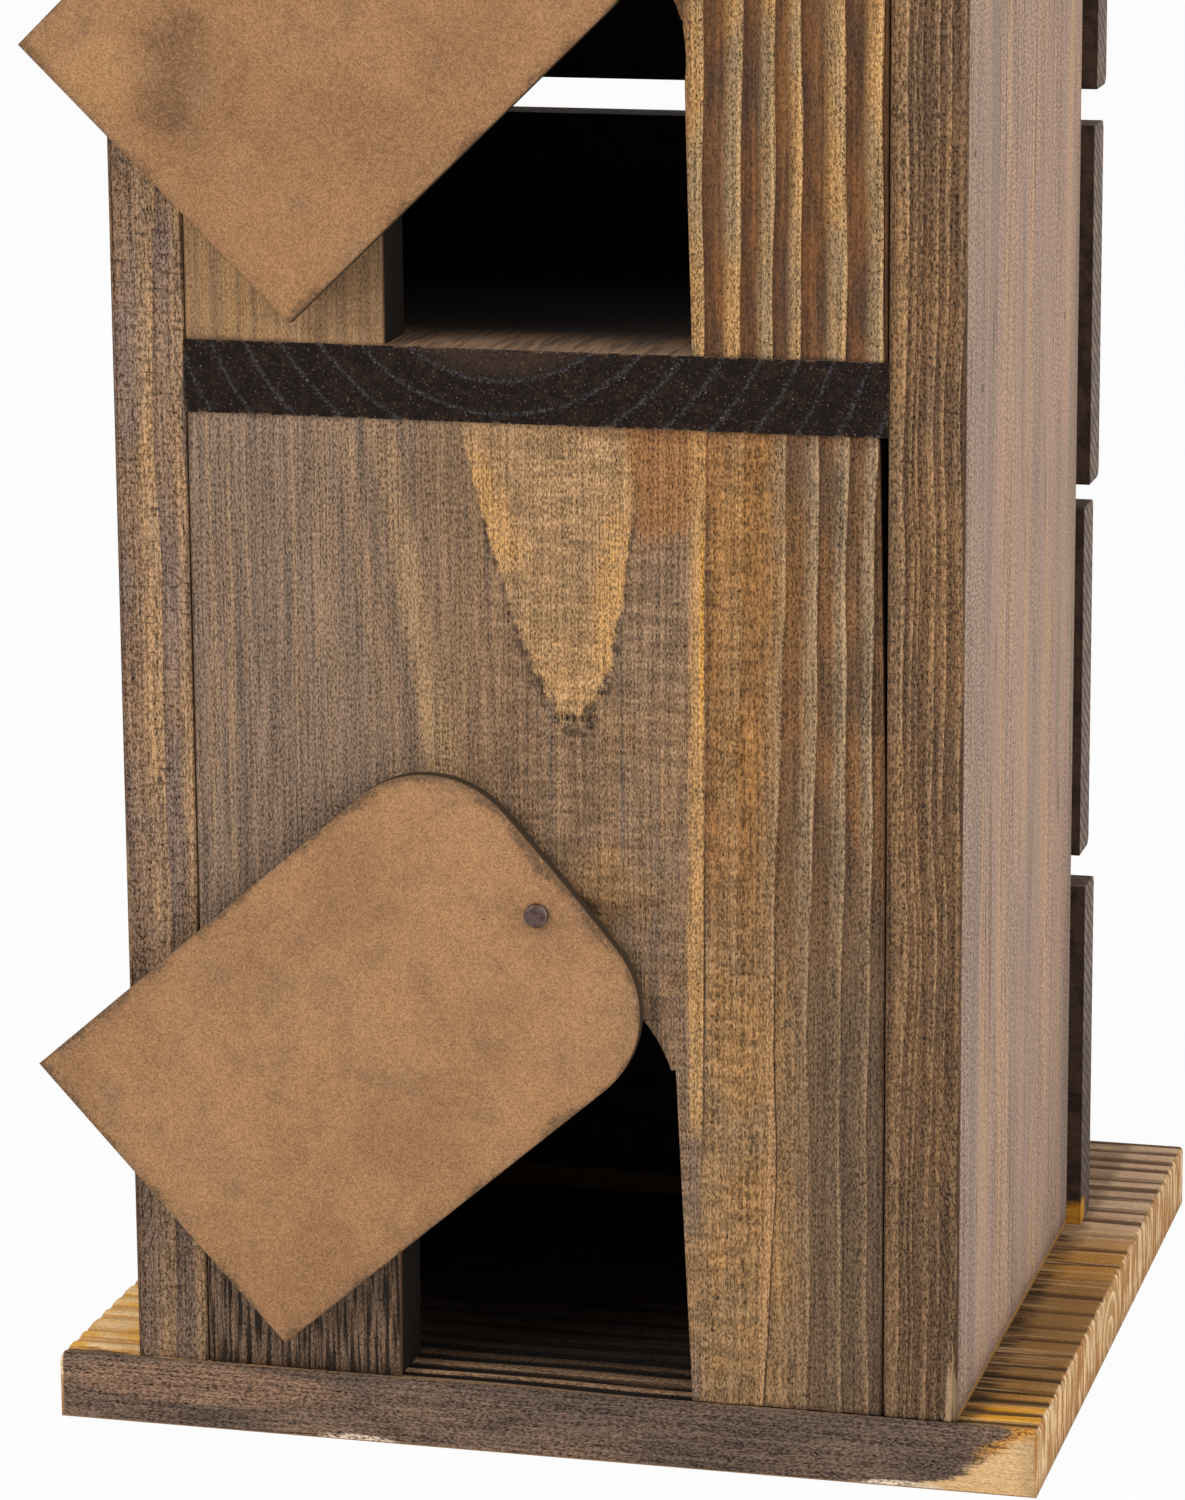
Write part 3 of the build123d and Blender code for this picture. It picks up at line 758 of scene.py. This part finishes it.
    # Inside the lower chamber the base's top is painted dark as shade, with painted light on the ridges near
    # the doorway and the valleys nearly black
    inside = abs(x).step(half_width - 5.0, half_width - 8.0)
    inside = inside * y.step(front - 1.0, front + 0.6) * y.step(back + 4.0, back + 1.0)
    chamber_floor_light_and_shade = finish.over((54, 40, 30), (156, 122, 92), y, front + 16.0, front + 3.0)
    chamber_floor_shade = finish.over(chamber_floor_light_and_shade, (24, 18, 14), valley, 0.05, 0.5)
    colour = finish.mix(inside * z.step(8.0, 9.0), colour, chamber_floor_shade)
    on_top = z.step(high[2] - 1.4, high[2] - 1.0) * (1.0 - on_front)
    calm = finish.most(on_end, bare * on_front, on_top * (1.0 - inside))
    colour, height = board.stained(colour, 0.95 - 0.7 * calm, 0.27)
    colour = finish.over(colour, (150, 118, 84), z, 0.3, 0.05)
    return finish.surface(colour, 0.8, height)


def roof_wood(node, side):
    """A roof board, stained as the side boards are."""
    finish = Finish(node + "_wood")
    pith = (side * 60.0, 470.0)
    board = Board(finish, node, 1, pith, lean=(0.01, 0.02), ring=4.0, wander=0.4, seed=41.0 + side)
    clouds = board.clouds(26.0, seed=3.0)
    light = finish.over((140, 114, 92), (158, 124, 88), clouds, 0.35, 0.65)
    colour = banded(finish, board.share, 0.8, light, (104, 76, 54), (180, 146, 108))
    colour, height = board.stained(colour, 0.9, 0.4, 0.5)
    height = height + finish.ramp(board.share, *band_light) * 0.15
    return close_board(board, colour, height, chamber=False)


def cover_fibreboard(node, open_angle, pivot_z, smudges):
    """Pressed fibreboard: even tan, fine fibres in all directions, dirty along its rim, with painted shade on
    its edges and back.

    A smudge is its middle, its size, how strong it is and its colour.
    """
    finish = Finish(node + "_board")
    place = finish.place()
    x, y, z = finish.parts(place)
    turn = math.radians(open_angle)
    u = (x - nail_x) * math.cos(turn) - (z - pivot_z) * math.sin(turn)
    v = (x - nail_x) * math.sin(turn) + (z - pivot_z) * math.cos(turn)
    out_u = finish.most(abs(u - cover_middle) - cover_half + cover_shoulder, 0.0)
    out_v = finish.most(v - cover_top + cover_shoulder, 0.0)
    rim = finish.least(cover_shoulder - (out_u * out_u + out_v * out_v) ** 0.5, v + cover_drop)
    specks = finish.noise(place, 4.2, 2.0, 0.7)
    hairs = finish.noise(place, 0.9, 4.0, 0.7, 3.5)
    clouds = finish.noise(place, 0.045, 4.0, 0.6)
    blots = finish.noise(place, 0.16, 4.0, 0.65)
    colour = finish.over((154, 114, 80), (176, 131, 90), clouds, 0.36, 0.64)
    colour = finish.over(colour, (138, 106, 80), blots, 0.52, 0.70, 0.45)
    grimy = (clouds + (blots - 0.5) * 0.5).step(0.50, 0.70)
    colour = finish.mix(grimy * 0.35, colour, (134, 106, 82))
    rub = rim + (blots - 0.5) * 7.0 + (hairs - 0.5) * 2.0
    colour = finish.over(colour, (106, 84, 64), rub, 3.0, -0.5, 0.30)
    colour = finish.over(colour, (76, 60, 46), rub, 0.9, -0.3, 0.6)
    for middle, size, strength, tint in smudges:
        smudge = patch((x, y, z), middle, size, blots * 2.2 + hairs * 0.8 - 1.0, soft=0.8)
        colour = finish.mix(smudge * strength, colour, tint)
    colour = finish.shade(colour, 1.0 + (specks.step(0.34, 0.66) - 0.5) * 0.62)
    tangle = finish.noise(place, 0.55, 1.0, 0.5, 2.5)
    curls = abs(tangle - 0.5).step(0.030, 0.010)
    colour = finish.mix(curls * 0.35, colour, (204, 158, 114))
    colour = finish.over(colour, (116, 86, 66), hairs, 0.38, 0.32, 0.30)
    dots = finish.noise(place, 0.95, 1.0)
    colour = finish.over(colour, (62, 46, 36), dots, 0.775, 0.80, 0.8)
    # Painted shade on the cover's edges and back, all that lies behind its front face
    colour = finish.over(colour, (62, 49, 36), y, cover_front + 0.35, cover_front + 0.8)
    height = specks * 0.07 + hairs * 0.08 + blots * 0.12
    return finish.surface(colour, 0.8, height)


def nail_metal():
    """Dull steel with some rust."""
    finish = Finish("nail_metal")
    place = finish.place()
    rust = finish.noise(place, 1.2, 4.0, 0.6)
    colour = finish.over((104, 84, 80), (74, 50, 42), rust, 0.4, 0.65)
    return finish.surface(colour, 0.5, rust * 0.05, metallic=0.6, specular=0.5)


def put_in_scene(name, data):
    """Make an object at the origin and link it to the scene."""
    made = bpy.data.objects.new(name, data)
    bpy.context.scene.collection.objects.link(made)
    return made


def mesh_of(name, made, material):
    """Turn a bmesh into a mesh with its material."""
    mesh = bpy.data.meshes.new(name)
    made.to_mesh(mesh)
    made.free()
    mesh.materials.append(material)
    return mesh


def new_piece(name, made, material, body, *nodes):
    """Turn a bmesh into a finished piece that replaces CAD nodes."""
    mesh = mesh_of(name, made, material)
    piece = put_in_scene(name, mesh)
    mesh.set_sharp_from_angle(angle=sharp_angle)
    for face in mesh.polygons:
        face.use_smooth = True
    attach(piece, body)
    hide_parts(*nodes)


def copy_of(node):
    """A CAD node's shape as one closed mesh."""
    made = bmesh.new()
    made.from_mesh(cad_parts[node].data)
    bmesh.ops.remove_doubles(made, verts=made.verts, dist=1e-3 * MM)
    return made


def cut_across(made, axis, places):
    """Cut a mesh's faces along planes across one axis."""
    direction = [0.0, 0.0, 0.0]
    direction[axis] = 1.0
    for place in places:
        bmesh.ops.bisect_plane(made, geom=made.verts[:] + made.edges[:] + made.faces[:], dist=1e-4 * MM,
                               plane_co=[part * place * MM for part in direction], plane_no=direction)


def spaced(low, high, step):
    """Places from low to high with about one step between them."""
    count = max(round((high - low) / step), 1)
    return [low + (high - low) * k / count for k in range(1, count)]


def carve_front(node, name, material, low_x, depth):
    """A board's copy whose front stands back between its ring lines, as brushed softwood does.

    Low_x is where the rings begin. Depth gives the drop in millimetres at an x and z.
    """
    made = copy_of(node)
    low, high = [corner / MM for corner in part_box(node)]
    cut_across(made, 0, spaced(max(low.x, low_x), high.x, carving_step_across))
    cut_across(made, 2, spaced(low.z, high.z, carving_step_along))
    just_behind = 0.01
    for vert in made.verts:
        if vert.co.y < (front + just_behind) * MM:
            vert.co.y += depth(vert.co.x / MM, vert.co.z / MM) * MM
    new_piece(name, made, material, "root", node)


def band_depth(bands, deepest):
    """The depth function of a door panel for its rings."""
    def depth(x, z):
        share, strength = bands(Plain(), x, z)
        return (1.0 - Plain().ramp(share, *band_light)) * strength * deepest
    return depth


def edge_depth(lines):
    """The same for a side board's narrow front edge."""
    def depth(x, z):
        return (1.0 - Plain().ramp(edge_bands(Plain(), x, z, lines), *band_light)) * edge_relief
    return depth


def make_base(material):
    """The ground board, its top brushed into valleys and its front arris worn round."""
    low, high = [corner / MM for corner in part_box("base_board")]
    end_step = 0.25
    worn_low = low.x + base_end_wear
    worn_high = high.x - base_end_wear
    stations = [low.x, low.x + end_step, worn_low, *spaced(worn_low, worn_high, carving_step_along),
                worn_high, high.x - end_step, high.x]
    levels = spaced(low.y + base_front_wear, high.y, base_step_across)
    made = bmesh.new()
    rings = []
    for x in stations:
        from_end = min((x - low.x) / base_end_wear, (high.x - x) / base_end_wear, 1.0)
        worn = base_end_wear * (1.0 - (1.0 - (1.0 - from_end) ** 2) ** 0.5)
        outline = [(high.y, low.z), (low.y, low.z)]
        for step in range(wear_steps + 1):
            angle = math.radians(90.0 * step / wear_steps)
            outline.append((low.y + base_front_wear * (1.0 - math.cos(angle)),
                            high.z - base_front_wear * (1.0 - math.sin(angle)) - worn))
        for y in levels:
            outline.append((y, high.z - base_relief * base_valleys(Plain(), x, y) - worn))
        outline.append((high.y, high.z - base_back_drop - worn))
        rings.append([made.verts.new((x * MM, y * MM, z * MM)) for y, z in outline])
    for ring, following in zip(rings, rings[1:]):
        for k in range(len(ring)):
            made.faces.new((ring[k - 1], ring[k], following[k], following[k - 1]))
    made.faces.new(rings[0][::-1])
    made.faces.new(rings[-1])
    bmesh.ops.recalc_face_normals(made, faces=made.faces)
    new_piece("worn_base_board", made, material, "root", "base_board")


def make_cover(node, pivot_z, material):
    """A cover with its outer arrises rubbed soft."""
    made = copy_of(node)
    pivot = Vector((nail_x * MM, 0.0, pivot_z * MM))
    hole_reach = 2.5 * MM
    flat = 0.1 * MM
    square = math.radians(60)
    arrises = []
    for edge in made.edges:
        middle = (edge.verts[0].co + edge.verts[1].co) / 2
        away = (Vector((middle.x, 0.0, middle.z)) - pivot).length
        rise = abs(edge.verts[0].co.y - edge.verts[1].co.y)
        if edge.calc_face_angle(0.0) > square and rise < flat and away > hole_reach:
            arrises.append(edge)
    bmesh.ops.bevel(made, geom=arrises, offset=cover_rub * MM, offset_type="OFFSET", affect="EDGES",
                    segments=3, profile=0.5, material=-1)
    new_piece(node + "_sheet", made, material, node, node)


def make_nail(node, name, material):
    """A pivot nail whose flat head carries the punched checks of a wire nail."""
    made = copy_of(node)
    low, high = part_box(node)
    middle = Vector(((low.x + high.x) / 2, low.y, (low.z + high.z) / 2))
    pitch = 0.42 * MM
    reach = 1.45 * MM
    foot = 0.24 * MM
    top = 0.13 * MM
    proud = 0.16 * MM
    upright = Matrix.Rotation(math.radians(90), 4, "X") @ Matrix.Rotation(math.radians(45), 4, "Z")
    count = math.ceil(reach / pitch)
    for row in range(-count, count + 1):
        for column in range(-count, count + 1):
            spot = Vector((column * pitch, 0.0, row * pitch))
            if spot.length < reach:
                bmesh.ops.create_cone(
                    made, cap_ends=True, segments=4, radius1=foot, radius2=top, depth=proud,
                    matrix=Matrix.Translation(middle + spot) @ upright)
    new_piece(name, made, material, "root", node)


def seen_white(finish):
    """1 for what the camera sees, straight, mirrored or through glass."""
    rays = ("Is Camera Ray", "Is Glossy Ray", "Is Transmission Ray")
    return finish.most(*[finish.node("ShaderNodeLightPath", output=ray) for ray in rays])


def make_floor():
    """A pale floor, seen nearly white, that keeps the object's shadow."""
    finish = Finish("floor_paper")
    matt = finish.node("ShaderNodeBsdfDiffuse", None, {"Color": (0.9, 0.9, 0.9, 1.0)})
    glow = finish.node("ShaderNodeEmission", None, {"Color": white, "Strength": 1.0})
    finish.send_out(finish.node("ShaderNodeMixShader", None, [seen_white(finish) * floor_glow, matt, glow]))
    made = bmesh.new()
    spot = Matrix.Translation(floor_middle)
    bmesh.ops.create_grid(made, x_segments=1, y_segments=1, size=floor_half, matrix=spot)
    floor = put_in_scene("floor", mesh_of("floor", made, finish.material))


def make_world():
    """Soft light from all round, and a white background."""
    world = bpy.data.worlds.new("studio")
    bpy.context.scene.world = world
    world.use_nodes = True
    sky = Finish("studio", world.node_tree)
    soft = sky.node("ShaderNodeBackground", None, {"Color": white, "Strength": soft_light})
    plain = sky.node("ShaderNodeBackground", None, {"Color": white, "Strength": 1.0})
    mixed = sky.node("ShaderNodeMixShader", None, [seen_white(sky), soft, plain])
    sky.send_out(mixed, "ShaderNodeOutputWorld")


def make_lamp(name, place, power):
    """A square soft lamp that points at the middle of the part."""
    light = bpy.data.lights.new(name, "AREA")
    light.shape = "SQUARE"
    light.size = lamp_size
    light.energy = power
    lamp = put_in_scene(name, light)
    lamp.location = place
    lamp.rotation_euler = (Vector(lamp_aim) - Vector(place)).to_track_quat("-Z", "Y").to_euler()


def make_camera():
    """The camera at the photograph's place."""
    yaw, pitch, roll = [math.radians(angle) for angle in (camera_yaw, camera_pitch, camera_roll)]
    ahead = Vector((-math.sin(yaw) * math.cos(pitch), math.cos(yaw) * math.cos(pitch), -math.sin(pitch)))
    level = Vector((math.cos(yaw), math.sin(yaw), 0.0))
    down = ahead.cross(level)
    right = math.cos(roll) * level + math.sin(roll) * down
    below = -math.sin(roll) * level + math.cos(roll) * down
    lens = bpy.data.cameras.new("camera")
    lens.sensor_width = sensor_size
    lens.lens = camera_focal / photo_height * sensor_size
    lens.clip_start = 0.05
    lens.clip_end = 50.0
    camera = put_in_scene("camera", lens)
    turn = Matrix((right, -below, -ahead)).transposed().to_4x4()
    camera.matrix_world = Matrix.Translation(camera_place * MM) @ turn
    bpy.context.scene.camera = camera


def dress(node, material):
    """Give a CAD node its material."""
    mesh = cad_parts[node].data
    mesh.materials.clear()
    mesh.materials.append(material)


make_camera()
make_floor()
make_world()
make_lamp("window_lamp", (-1.2, -1.6, 1.6), 32.0)
make_lamp("side_lamp", (1.7, -0.7, 0.9), 22.0)

metal = nail_metal()
for brads in ("siding_brads", "floor_brads", "panel_brads", "base_brads", "roof_brads"):
    dress(brads, metal)
dress("mid_floor", mid_floor_wood())
dress("left_roof_board", roof_wood("left_roof_board", -1))
dress("right_roof_board", roof_wood("right_roof_board", 1))
for number in range(1, 6):
    dress(f"siding_board_{number}", siding_wood(f"siding_board_{number}", 1.0 + number))
dress("siding_gable_board", siding_wood("siding_gable_board", 8.0))
make_base(base_wood())
carve_front("lower_door_panel", "brushed_lower_panel", lower_panel_wood(), ridges_start,
            band_depth(lower_panel_bands, lower_panel_relief))
carve_front("upper_door_panel", "brushed_upper_panel", upper_panel_wood(), ridges_start,
            band_depth(upper_panel_bands, upper_panel_relief))
carve_front("left_side_board", "brushed_left_board", side_board_wood("left_side_board", -1), -half_width,
            edge_depth(left_edge_lines))
carve_front("right_side_board", "brushed_right_board", side_board_wood("right_side_board", 1), 0.0,
            edge_depth(right_edge_lines))
grime = (88, 68, 52)
lower_smudges = (((-46.0, 74.0), (10.0, 8.0), 0.2, grime), ((-9.0, 108.0), (9.0, 5.0), 0.3, grime))
upper_smudges = (
    ((-51.5, 211.0), (10.0, 15.0), 0.38, grime),
    ((-54.0, 206.8), (6.5, 5.0), 0.45, grime),
    ((-52.5, 216.5), (5.0, 7.0), 0.35, grime),
    ((-65.0, 211.5), (8.0, 8.0), 0.6, (188, 142, 94)),
    ((-28.0, 222.0), (70.0, 70.0), 0.22, (136, 94, 58)),
)
make_cover("lower_cover", lower_nail_z,
           cover_fibreboard("lower_cover", lower_cover_open, lower_nail_z, lower_smudges))
make_cover("upper_cover", upper_nail_z,
           cover_fibreboard("upper_cover", upper_cover_open, upper_nail_z, upper_smudges))
make_nail("lower_pivot_nail", "lower_nail", metal)
make_nail("upper_pivot_nail", "upper_nail", metal)

bpy.context.scene.view_settings.view_transform = "Standard"
